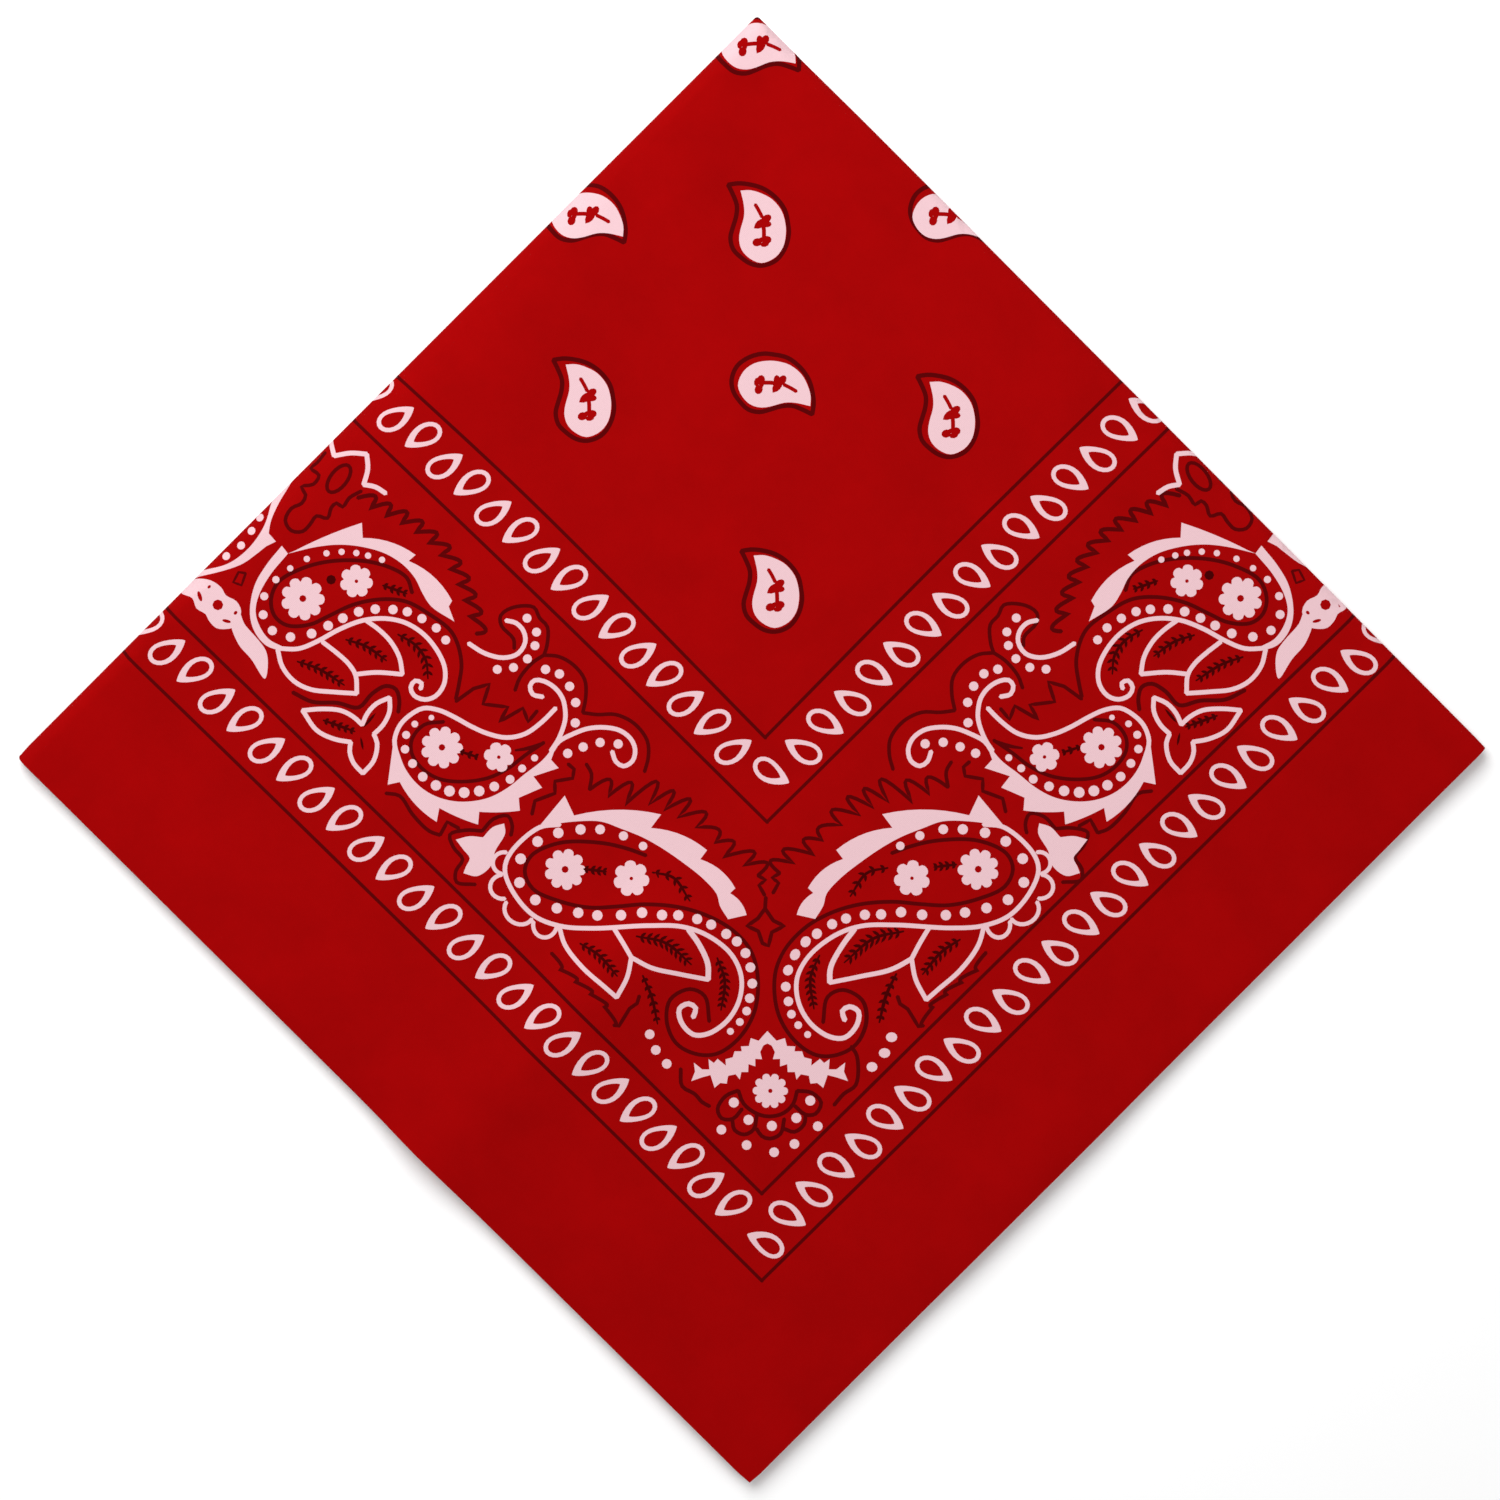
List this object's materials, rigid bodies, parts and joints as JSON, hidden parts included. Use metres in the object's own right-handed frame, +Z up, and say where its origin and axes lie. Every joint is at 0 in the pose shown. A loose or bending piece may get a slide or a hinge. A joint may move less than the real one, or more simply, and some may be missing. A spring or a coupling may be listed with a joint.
{
  "type": "folded bandana",
  "caption": "Square cotton bandana folded in quarters and laid flat as a diamond, with soft rolled folds, printed with a traditional paisley border.",
  "frame": {"origin": "middle of the underside, on the surface that the folded bandana lies on", "axes": "+Y points to the middle of the bandana, where both folds meet; +X to the right corner; +Z up through the layers"},
  "size_m": [0.3896, 0.3896, 0.0067],
  "materials": {
    "printed_cotton": "matt plain-woven red cotton with a white and black paisley print",
    "inner_cotton": "matt plain-woven red cotton"
  },
  "bodies": {
    "root": {"front_panel": "printed_cotton", "folded_layers": "inner_cotton"}
  },
  "joints": []
}
